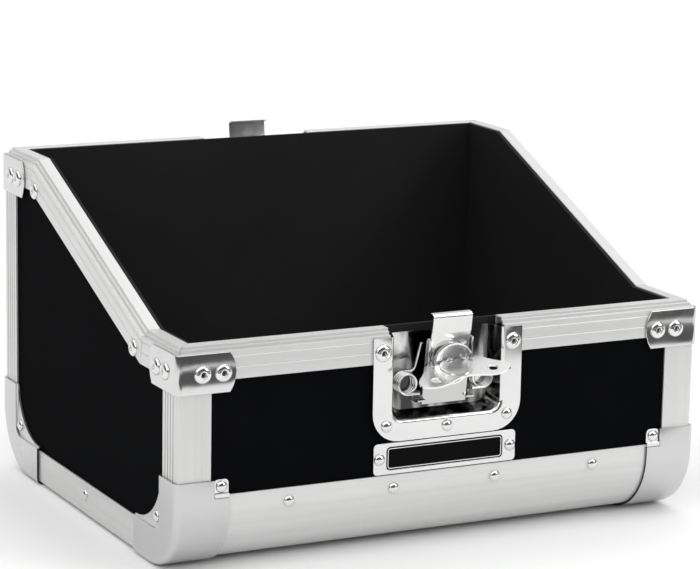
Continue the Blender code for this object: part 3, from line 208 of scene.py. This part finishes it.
def cover_metal():
    """Smooth satin plate with faint smudges."""
    graph = Graph("cover_satin")
    cloud = graph.noise(graph.place(), 14.0, 2.0)
    fine = graph.noise(graph.place(), 1400.0, 2.0)
    graph.set(Metallic=0.85)
    graph.paint(Base_Color=graph.tint(graph.ramp(cloud, 0.0, 1.0, 0.1, 0.9), grey(0.56), grey(0.62)),
                Roughness=graph.ramp(cloud, 0.20, 0.30, 0.1, 0.9), Normal=graph.bump(fine, 0.03, 0.0001))
    return graph.material


def bright_metal(name, base, low, high, wave, crown=0.0):
    """Polished plate, its surface wavy by some metres; a crown bends it gently from its foot to its head."""
    graph = Graph(name)
    cloud = graph.noise(graph.place(), 60.0, 5.0)
    wipes = graph.noise(graph.place((1.0, 1.0, 0.15), (0.3, 0.5, 0.2)), 1100.0, 2.0)
    soft = graph.noise(graph.place(), 45.0, 0.5)
    normal = graph.bump(soft, 1.0, wave)
    if crown:
        split = graph.put("ShaderNodeSeparateXYZ")
        graph.join(graph.place(source="Generated"), split.inputs["Vector"])
        power = graph.put("ShaderNodeMath", operation="POWER")
        power.inputs[1].default_value = 2.0
        graph.join(split.outputs["Z"], power.inputs[0])
        sink = graph.put("ShaderNodeMath", operation="MULTIPLY")
        sink.inputs[1].default_value = -1.0
        graph.join(power.outputs[0], sink.inputs[0])
        normal = graph.bump(sink.outputs[0], 1.0, crown, normal)
    graph.set(Metallic=1.0)
    graph.paint(Base_Color=graph.tint(graph.ramp(cloud, 0.0, 1.0), grey(base - 0.04), grey(base, 0.006)),
                Roughness=graph.ramp(cloud, low, high), Normal=graph.bump(wipes, 0.03, 0.00005, normal))
    return graph.material


def pocket_metal():
    """Polished pocket, its colour painted mostly dark as painted shade, with pale upright streaks of painted
    reflection.
    """
    graph = Graph("pocket_plate")
    streaks = graph.noise(graph.place((1.0, 1.0, 0.22)), 75.0, 1.5)
    cloud = graph.noise(graph.place(), 60.0, 4.0)
    graph.set(Metallic=1.0)
    # Base colour: painted shade, broken by pale streaks of painted reflection
    graph.paint(Base_Color=graph.tint(graph.ramp(streaks, 0.0, 1.0, 0.44, 0.62), grey(0.05), grey(0.62, 0.006)),
                Roughness=graph.ramp(cloud, 0.08, 0.16), Normal=graph.bump(streaks, 1.0, 0.0008))
    return graph.material


def laminate():
    """Near-black laminate with a fine pebbled grain."""
    graph = Graph("black_laminate")
    pebbles = graph.put("ShaderNodeTexVoronoi", Scale=1500.0)
    graph.join(graph.place(), pebbles.inputs["Vector"])
    cloud = graph.noise(graph.place(), 14.0, 5.0)
    graph.set(Specular_IOR_Level=0.02, IOR=1.2)
    graph.paint(Base_Color=graph.tint(graph.ramp(cloud, 0.0, 1.0), (0.0026, 0.0028, 0.0034), (0.004, 0.0042, 0.0048)),
                Roughness=graph.ramp(cloud, 0.5, 0.62),
                Normal=graph.bump(pebbles.outputs["Distance"], 0.25, 0.00012))
    return graph.material


def lining():
    """Matt black lining board with a paper grain."""
    graph = Graph("black_lining")
    grain = graph.noise(graph.place(), 900.0, 6.0, 0.7)
    cloud = graph.noise(graph.place(), 9.0, 4.0)
    graph.set(Specular_IOR_Level=0.25)
    graph.paint(Base_Color=graph.tint(graph.ramp(cloud, 0.0, 1.0), (0.0085, 0.0085, 0.009), (0.0125, 0.0122, 0.0122)),
                Roughness=graph.ramp(grain, 0.78, 0.95), Normal=graph.bump(grain, 0.4, 0.0002))
    return graph.material


def flat_material(name, colour, roughness, gloss=0.5):
    graph = Graph(name)
    graph.set(Base_Color=(*colour, 1.0), Roughness=roughness, Specular_IOR_Level=gloss)
    return graph.material


def slope_angle():
    return math.atan2(RISE, 2 * HALF_DEPTH - 2 * SLOPE_START)


FINISH = {
    "along_x": aluminium("aluminium_x", "X"),
    "along_y": aluminium("aluminium_y", "Y"),
    "along_z": aluminium("aluminium_z", "Z"),
    "along_slope": aluminium("aluminium_slope", "Y", (-slope_angle(), 0.0, 0.0)),
    "cover": cover_metal(),
    "bright": bright_metal("bright_plate", 0.71, 0.06, 0.12, 0.00010),
    "pocket": pocket_metal(),
    "bracket": bright_metal("bracket_plate", 0.66, 0.08, 0.13, 0.00004, 0.0020),
    "wing": bright_metal("wing_plate", 0.84, 0.22, 0.28, 0.00008),
    "cup": bright_metal("cup_plate", 0.82, 0.17, 0.23, 0.0002),
    "carrier": bright_metal("carrier_plate", 0.56, 0.07, 0.13, 0.0003),
    "spring": bright_metal("spring_wire", 0.72, 0.12, 0.20, 0.00004),
    "rivet": bright_metal("rivet_steel", 0.74, 0.08, 0.14, 0.00002),
    "laminate": laminate(),
    "lining": lining(),
    # Painted shade for the sunk grooves of the posts
    "groove": flat_material("groove_grime", (0.16, 0.16, 0.16), 0.6),
    # Near-black painted shade, for the bottoms of rivet holes and the ends of the covers
    "shade": flat_material("hollow_shade", (0.01, 0.01, 0.01), 0.7),
    "enamel": flat_material("plate_enamel", (0.003, 0.003, 0.0035), 0.55, 0.04),
}


def finish_of(node):
    ends = (("_panel", "laminate"), ("_lining", "lining"), ("_cover", "cover"), ("_bracket", "bracket"),
            ("_roll", "along_x"), ("_edge", "along_y"), ("_post", "along_z"), ("_slope_rim", "along_slope"))
    for end, finish in ends:
        if node.endswith(end):
            return finish
    if node.endswith("_rim"):
        return "along_y" if node.split("_")[0] in ("left", "right") else "along_x"
    for end, finish in (("_wing", "wing"), ("_spindle", "cup"), ("_carrier", "carrier")):
        if node.endswith(end):
            return finish
    return "spring" if "spring" in node else "bright"


def body_of(node):
    for end in ("front", "back"):
        for piece in ("carrier", "hook", "spindle", "wing"):
            if node == end + "_latch_" + piece:
                return end + "_" + piece
        if node == end + "_latch_wing_pin":
            return end + "_spindle"
    return "case"


# Mesh tools

def object_from_bmesh(name, bm, finish):
    mesh = bpy.data.meshes.new(name)
    bm.to_mesh(mesh)
    bm.free()
    item = bpy.data.objects.new(name, mesh)
    bpy.context.scene.collection.objects.link(item)
    mesh.materials.append(FINISH[finish])
    return item


def facing(point, outward):
    """Matrix that puts local +Z along the outward direction at a point."""
    turn = Vector((0, 0, 1)).rotation_difference(Vector(outward)).to_matrix().to_4x4()
    return Matrix.Translation(Vector(point)) @ turn


def lathe(bm, profile, sides, place):
    """Surface of revolution about local Z through (radius, height, material) points."""
    rings = []
    for radius, height, material in profile:
        count = 1 if radius == 0 else sides
        turns = [2 * math.pi * side / sides for side in range(count)]
        rings.append(([bm.verts.new(place @ Vector((radius * math.cos(turn), radius * math.sin(turn), height)))
                       for turn in turns], material))
    for (first, before), (second, material) in zip(rings, rings[1:]):
        for side in range(sides):
            after = (side + 1) % sides
            if len(second) == 1:
                face = bm.faces.new((first[side], first[after], second[0]))
            else:
                face = bm.faces.new((first[side], first[after], second[after], second[side]))
            face.material_index = material
            face.smooth = True


def big_head(bm, place):
    """Hollow rivet: a rolled ring round a hole, whose bottom is a dark disc of painted shade."""
    crest = BIG_CREST_SHARE * BIG_RADIUS
    profile = [(BIG_RADIUS, -RIVET_SINK, 0)]
    for step in range(DOME_STEPS + 1):
        turn = math.pi / 2 * step / DOME_STEPS
        profile.append((crest + (BIG_RADIUS - crest) * math.cos(turn),
                        BIG_HEIGHT * (0.08 + 0.92 * math.sin(turn)), 1))
    for step in range(1, DOME_STEPS + 1):
        turn = math.pi / 2 * step / DOME_STEPS
        profile.append((BIG_HOLE + (crest - BIG_HOLE) * (1 - math.sin(turn)),
                        BIG_HEIGHT * (BIG_FOOT_SHARE + BIG_DOME_SHARE * math.cos(turn)), 1))
    # The bottom of the hole is a disc of painted shade.
    profile += [(BIG_HOLE, 0, 1), (0, 0, 2)]
    lathe(bm, profile, RIVET_SIDES, place)


def small_head(bm, place):
    profile = [(SMALL_RADIUS, -RIVET_SINK, 0)]
    for step in range(DOME_STEPS + 1):
        turn = math.pi / 2 * step / DOME_STEPS
        radius = SMALL_RADIUS * math.cos(turn) if step < DOME_STEPS else 0
        profile.append((radius, SMALL_HEIGHT * (0.1 + 0.9 * math.sin(turn)), 1))
    lathe(bm, profile, RIVET_SIDES, place)


HEADS = {"big": (BIG_RADIUS, BIG_HEIGHT, big_head), "small": (SMALL_RADIUS, SMALL_HEIGHT, small_head)}


def bare(bm, radius, height, place):
    """Take away the coarse head that the solid has at this place."""
    inverse = place.inverted()
    slack = 0.05 * MM
    faces = []
    for face in bm.faces:
        points = [inverse @ vert.co for vert in face.verts]
        middle = inverse @ face.calc_center_median()
        if middle.z > slack / 10 and all(point.xy.length < radius + slack and -slack < point.z < height + slack
                                         for point in points):
            faces.append(face)
    bmesh.ops.delete(bm, geom=faces, context="FACES")


def refine(node, width, rivets=(), angle=35.0, segments=2):
    """The node's own surface with softened edges, and with fine rivet heads in place of its coarse ones."""
    bm = bmesh.new()
    bm.from_mesh(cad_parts[node].data)
    bmesh.ops.remove_doubles(bm, verts=bm.verts, dist=0.002 * MM)
    bmesh.ops.dissolve_limit(bm, angle_limit=math.radians(1.0), verts=bm.verts, edges=bm.edges)
    places = [(HEADS[kind], facing(point, outward)) for kind, point, outward in rivets]
    for (radius, height, _), place in places:
        bare(bm, radius, height, place)
    bmesh.ops.triangulate(bm, faces=[face for face in bm.faces if len(face.verts) > 4])
    item = object_from_bmesh("fine_" + node, bm, finish_of(node))
    if width:
        bevel = item.modifiers.new("soft_edges", "BEVEL")
        bevel.width = width
        bevel.segments = segments
        bevel.limit_method = "ANGLE"
        bevel.angle_limit = math.radians(angle)
        depsgraph = bpy.context.evaluated_depsgraph_get()
        mesh = bpy.data.meshes.new_from_object(item.evaluated_get(depsgraph))
        item.modifiers.clear()
        item.data = mesh
    mesh = item.data
    mesh.shade_smooth()
    mesh.set_sharp_from_angle(angle=math.radians(50.0 if width else 35.0))
    if places:
        mesh.materials.append(FINISH["rivet"])
        # Slot for the painted shade in rivet holes and at cover ends
        mesh.materials.append(FINISH["shade"])
        heads = bmesh.new()
        heads.from_mesh(mesh)
        for (_, _, draw), place in places:
            draw(heads, place)
        heads.to_mesh(mesh)
        heads.free()
    even = item.modifiers.new("even_faces", "WEIGHTED_NORMAL")
    even.keep_sharp = True
    even.weight = 100
    return item


def keep(item, node):
    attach(item, body_of(node))
    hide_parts(node)


# Places in the case

def front_y(inward):
    return -HALF_DEPTH + inward


def left_x(inward):
    return -HALF_WIDTH + inward


def up(height):
    return BASE + height


CORNERS = (("front_left", 1, 1), ("front_right", -1, 1), ("back_left", 1, -1), ("back_right", -1, -1))


def mirrored(rivets, flip_x, flip_y, rise=0.0):
    """The same rivets at another corner of the case."""
    made = []
    for kind, point, outward in rivets:
        made.append((kind, (point[0] * flip_x, point[1] * flip_y, point[2] + rise),
                     (outward[0] * flip_x, outward[1] * flip_y, outward[2])))
    return made


def shade_ends(mesh):
    """Painted shade on the ends, where a cover stands proud of the rails."""
    for polygon in mesh.polygons:
        across = abs(HALF_WIDTH - abs(polygon.center.x) - COVER_WIDTH)
        along = abs(HALF_DEPTH - abs(polygon.center.y) - COVER_DEPTH)
        side_end = abs(polygon.normal.x) > FACING_SHARE and across < GAP
        if side_end or (abs(polygon.normal.y) > FACING_SHARE and along < GAP):
            polygon.material_index = 2


def refine_corners():
    bracket = []
    level = up(FRONT_HEIGHT - BRACKET_RIVET_DROP)
    for place in BRACKET_RIVETS:
        bracket.append(("big", (left_x(place), front_y(-BRACKET_FACE), level), (0, -1, 0)))
        bracket.append(("big", (left_x(-BRACKET_FACE), front_y(place), level), (-1, 0, 0)))
    cover = [("small", (left_x(COVER_RIVET[0]), front_y(COVER_RIVET[1]), up(COVER_RIVET[2])), (-1, 0, 0))]
    clip = [("small", (left_x(CLIP_RIVET[0]), front_y(0), up(CLIP_RIVET[1])), (0, -1, 0))]
    for corner, flip_x, flip_y in CORNERS:
        rise = RISE if flip_y < 0 else 0
        for end, width, rivets, lift in (("_bracket", 0.4 * MM, bracket, rise), ("_cover", 0, cover, 0),
                                         ("_clip", 0.35 * MM, clip, 0)):
            node = corner + end
            piece = refine(node, width, mirrored(rivets, flip_x, flip_y, lift))
            if end == "_cover":
                shade_ends(piece.data)
            keep(piece, node)


def darken_grooves(mesh):
    """Painted shade in the grooves on a post's side face."""
    mesh.materials.append(FINISH["groove"])
    for polygon in mesh.polygons:
        inward = HALF_WIDTH - abs(polygon.center.x)
        beside_corner = abs(polygon.center.y) < HALF_DEPTH - POST_CORNER
        # Faces sunk in a groove get the painted shade.
        if GROOVE_NEAR < inward < GROOVE_FAR and beside_corner:
            polygon.material_index = 1


def refine_extrusions():
    across = [(index - 1.5) * ROLL_RIVET_PITCH for index in range(4)]
    roll = [("small", (place, front_y(0), up(ROLL_RIVET_UP)), (0, -1, 0)) for place in across]
    for node, flip in (("front_bottom_roll", 1), ("back_bottom_roll", -1)):
        keep(refine(node, 0.2 * MM, mirrored(roll, 1, flip)), node)
    edge = [("small", (left_x(0), 0, up(EDGE_RIVET_UP)), (-1, 0, 0))]
    low = Vector((-HALF_WIDTH, front_y(SLOPE_START), up(FRONT_HEIGHT)))
    high = Vector((-HALF_WIDTH, -front_y(SLOPE_START), up(BACK_HEIGHT)))
    along = (high - low).normalized()
    drop = Vector((0, along.z, -along.y)) * SLOPE_RIVET_DROP
    slope = [("big", low + along * SLOPE_RIVET_FRONT + drop, (-1, 0, 0)),
             ("big", high - along * SLOPE_RIVET_BACK + drop, (-1, 0, 0))]
    for side, flip in (("left", 1), ("right", -1)):
        keep(refine(side + "_bottom_edge", 0.2 * MM, mirrored(edge, flip, 1)), side + "_bottom_edge")
        keep(refine(side + "_slope_rim", 0.15 * MM, mirrored(slope, flip, 1)), side + "_slope_rim")
        for node in (side + "_front_rim", side + "_back_rim"):
            keep(refine(node, 0.15 * MM), node)
    for corner, _, _ in CORNERS:
        post = refine(corner + "_post", POST_EDGE)
        darken_grooves(post.data)
        keep(post, corner + "_post")
        keep(refine(corner + "_rim", 0.15 * MM), corner + "_rim")


def rounded_outline(half_width, half_height, corner, y, middle):
    """Points round a rounded rectangle in the XZ plane."""
    points = []
    for side, tall, start in ((1, 1, 0), (-1, 1, 90), (-1, -1, 180), (1, -1, 270)):
        for step in range(OUTLINE_STEPS + 1):
            turn = math.radians(start + 90 * step / OUTLINE_STEPS)
            points.append(Vector((side * (half_width - corner) + corner * math.cos(turn), y,
                                  middle + tall * (half_height - corner) + corner * math.sin(turn))))
    return points


def add_field_line(bm):
    """Thin bright line just inside the edge of the sunk field."""
    rings = []
    for inset, y in ((FIELD_LINE_IN, FIELD_FACE), (FIELD_LINE_IN, FIELD_FACE - FIELD_LINE_HEIGHT),
                     (FIELD_LINE_IN + FIELD_LINE_WIDTH, FIELD_FACE - FIELD_LINE_HEIGHT),
                     (FIELD_LINE_IN + FIELD_LINE_WIDTH, FIELD_FACE)):
        outline = rounded_outline(FIELD_HALF[0] - inset, FIELD_HALF[1] - inset, FIELD_CORNER - inset,
                                  front_y(y), up(PLATE_MIDDLE))
        rings.append([bm.verts.new(point) for point in outline])
    for first, second in zip(rings, rings[1:]):
        for index in range(len(first)):
            after = (index + 1) % len(first)
            bm.faces.new((first[index], first[after], second[after], second[index]))


def refine_name_plate():
    """The bare plate, its sunk field enamelled black round a thin line."""
    face = front_y(0)
    rivets = [("small", (side * PLATE_RIVET_SIDE, face, up(PLATE_MIDDLE)), (0, -1, 0)) for side in (-1, 1)]
    plate = refine("name_plate", 0.2 * MM, rivets)
    plate.data.materials.append(FINISH["enamel"])
    for polygon in plate.data.polygons:
        if abs(polygon.normal.y) > 0.99 and face + 0.2 * MM < polygon.center.y < face + 0.5 * MM:
            polygon.material_index = 3
    bm = bmesh.new()
    bm.from_mesh(plate.data)
    add_field_line(bm)
    bm.to_mesh(plate.data)
    bm.free()
    keep(plate, "name_plate")


# Latches

def latch_places():
    about = Matrix.Translation((0, 0, RISE)) @ Matrix.Rotation(math.pi, 4, "Z")
    return (("front", Matrix.Identity(4)), ("back", about))


def refine_latch_plates():
    rim = up(FRONT_HEIGHT)
    face = front_y(-FLANGE_FACE)
    dish = [("small", (0, face, rim - FLANGE_MIDDLE), (0, -1, 0))]
    for side in (-1, 1):
        dish.append(("big", (side * FLANGE_BIG[0], face, rim - FLANGE_BIG[1]), (0, -1, 0)))
        dish.append(("small", (side * FLANGE_SMALL[0], face, rim - FLANGE_SMALL[1]), (0, -1, 0)))
    for end, flip in (("front", 1), ("back", -1)):
        node = end + "_latch_dish"
        plate = refine(node, 0.2 * MM, mirrored(dish, flip, flip, RISE if flip < 0 else 0))
        # The pocket faces get the plate with painted shade and painted reflections.
        plate.data.materials.append(FINISH["pocket"])
        for polygon in plate.data.polygons:
            if abs(polygon.center.y) < HALF_DEPTH - DISH_SHEET and polygon.material_index == 0:
                polygon.material_index = 3
        keep(plate, node)
        for piece, width in (("carrier", 0.2 * MM), ("hook", 0.3 * MM), ("hinge_pin", 0.2 * MM),
                             ("wing_pin", 0.1 * MM), ("spindle", 0.12 * MM), ("wing", 0.3 * MM)):
            node = end + "_latch_" + piece
            keep(refine(node, width), node)


def spring_points(side):
    """Wire from the front curl's short leg, back through the curls and up the long leg."""
    length = SPRING_PITCH * SPRING_TURNS
    front = SPRING_BACK - length
    points = [Vector((SPRING_SHORT_LEG, front, -SPRING_RADIUS))]
    steps = round(SPRING_CURL_POINTS * SPRING_TURNS)
    for step in range(steps + 1):
        turn = 2 * math.pi * step / SPRING_CURL_POINTS
        points.append(Vector((-SPRING_RADIUS * math.sin(turn), front + length * step / steps,
                              -SPRING_RADIUS * math.cos(turn))))
    corner = Vector((SPRING_RADIUS, SPRING_BACK, SPRING_RADIUS))
    bend = Vector(SPRING_BEND)
    tip = Vector(SPRING_TIP)
    before = points[-1]
    for share in (0.75, 0.9):
        points.append(before.lerp(corner, share))
    points.append(before.lerp(corner, 0.95).lerp(corner.lerp(bend, 0.3), 0.5))
    points += [corner.lerp(bend, 0.5), bend.lerp(tip, 0.06), bend.lerp(tip, 0.2), tip]
    return [Vector((-side * point.x, point.y, point.z)) for point in points]


def make_springs():
    for end, about in latch_places():
        for side, word in ((-1, "left"), (1, "right")):
            node = end + "_latch_spring_" + word
            wire = bpy.data.curves.new("fine_" + node, "CURVE")
            wire.dimensions = "3D"
            wire.bevel_depth = SPRING_WIRE / 2
            wire.bevel_resolution = 5
            wire.use_fill_caps = True
            spline = wire.splines.new("POLY")
            points = spring_points(side)
            spline.points.add(len(points) - 1)
            for spot, point in zip(spline.points, points):
                spot.co = (*point, 1.0)
            spline.use_smooth = True
            wire.materials.append(FINISH["spring"])
            spring = bpy.data.objects.new(wire.name, wire)
            bpy.context.scene.collection.objects.link(spring)
            place = Matrix.Translation((side * SPRING_SIDE, front_y(0), up(FRONT_HEIGHT - SPRING_DROP)))
            spring.matrix_world = about @ place
            keep(spring, node)


refine_corners()
refine_extrusions()
refine_name_plate()
refine_latch_plates()
make_springs()
for name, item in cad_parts.items():
    item.data.materials.clear()
    item.data.materials.append(FINISH[finish_of(name)])


# Camera at the photograph's angle

AZIMUTH = math.radians(26.905)
ELEVATION = math.radians(11.946)
ROLL = math.radians(1.062)
DISTANCE = 1970.711 * MM
TARGET = Vector((6.246 * MM, 0.0, 141.131 * MM))
LENS = 150.28

back = Vector((-math.sin(AZIMUTH) * math.cos(ELEVATION), -math.cos(AZIMUTH) * math.cos(ELEVATION),
               math.sin(ELEVATION)))
level = (-back).cross(Vector((0, 0, 1))).normalized()
upright = level.cross(-back)
right = level * math.cos(ROLL) + upright * math.sin(ROLL)
above = upright * math.cos(ROLL) - level * math.sin(ROLL)
camera = bpy.data.objects.new("camera", bpy.data.cameras.new("camera"))
bpy.context.scene.collection.objects.link(camera)
turn = Matrix((right, above, back)).transposed().to_4x4()
camera.matrix_world = Matrix.Translation(TARGET + back * DISTANCE) @ turn
camera.data.sensor_width = 36.0
camera.data.lens = LENS
camera.data.clip_end = 20.0
bpy.context.scene.camera = camera


# Floor and light

FLAG_HEIGHT = 0.004
FLAG_OUTLINE = ((-0.9, -0.76), (0.10, -0.72), (0.25, -0.74), (0.29, -0.60), (1.2, -0.45), (1.6, -2.6), (-1.2, -2.6))

def add_floor():
    mesh = bpy.data.meshes.new("floor")
    bm = bmesh.new()
    bmesh.ops.create_grid(bm, x_segments=2, y_segments=2, size=8.0)
    bm.to_mesh(mesh)
    bm.free()
    floor = bpy.data.objects.new("floor", mesh)
    bpy.context.scene.collection.objects.link(floor)
    mesh.materials.append(flat_material("pale_floor", (0.94, 0.94, 0.94), 0.9))


def add_flag():
    """Dark card in front, which only shows in the polished plates."""
    mesh = bpy.data.meshes.new("flag")
    bm = bmesh.new()
    bm.faces.new([bm.verts.new((*point, FLAG_HEIGHT)) for point in FLAG_OUTLINE])
    bm.to_mesh(mesh)
    bm.free()
    flag = bpy.data.objects.new("flag", mesh)
    bpy.context.scene.collection.objects.link(flag)
    mesh.materials.append(flat_material("flag_black", (0.02, 0.02, 0.02), 0.9))
    flag.visible_camera = False
    flag.visible_diffuse = False
    flag.visible_shadow = False


def add_softbox(name, position, aim, size, power):
    data = bpy.data.lights.new(name, "AREA")
    data.shape = "RECTANGLE"
    data.size, data.size_y = size
    data.energy = power
    light = bpy.data.objects.new(name, data)
    bpy.context.scene.collection.objects.link(light)
    light.location = position
    light.rotation_mode = "QUATERNION"
    light.rotation_quaternion = (Vector(aim) - Vector(position)).to_track_quat("-Z", "Y")


def add_sun(strength, spread, lean):
    data = bpy.data.lights.new("overhead", "SUN")
    data.energy = strength
    data.angle = spread
    light = bpy.data.objects.new("overhead", data)
    bpy.context.scene.collection.objects.link(light)
    light.rotation_euler = lean


def add_world(front, rear):
    """Grey studio walls: dim where the case faces, pale behind it."""
    world = bpy.data.worlds.new("studio")
    world.use_nodes = True
    nodes, links = world.node_tree.nodes, world.node_tree.links
    direction = nodes.new("ShaderNodeTexCoord")
    toward = nodes.new("ShaderNodeVectorMath")
    toward.operation = "DOT_PRODUCT"
    toward.inputs[1].default_value = (math.sin(AZIMUTH), math.cos(AZIMUTH), 0.0)
    links.new(direction.outputs["Generated"], toward.inputs[0])
    shade = nodes.new("ShaderNodeMapRange")
    for key, value in (("From Min", -0.1), ("From Max", 0.6), ("To Min", front), ("To Max", rear)):
        shade.inputs[key].default_value = value
    links.new(toward.outputs["Value"], shade.inputs["Value"])
    links.new(shade.outputs["Result"], nodes["Background"].inputs["Strength"])
    nodes["Background"].inputs["Color"].default_value = (1.0, 1.0, 1.0, 1.0)
    bpy.context.scene.world = world


add_floor()
add_flag()
add_sun(2.45, math.radians(100), (math.radians(12), math.radians(-8), 0.0))
add_softbox("left_front", (-1.9, -1.7, 1.2), (0, 0, 0.1), (1.0, 1.4), 7.5)
add_softbox("right_front", (1.6, -2.0, 1.1), (0, 0, 0.1), (0.9, 1.3), 16.0)
add_world(0.10, 0.85)
bpy.context.scene.view_settings.view_transform = "Standard"
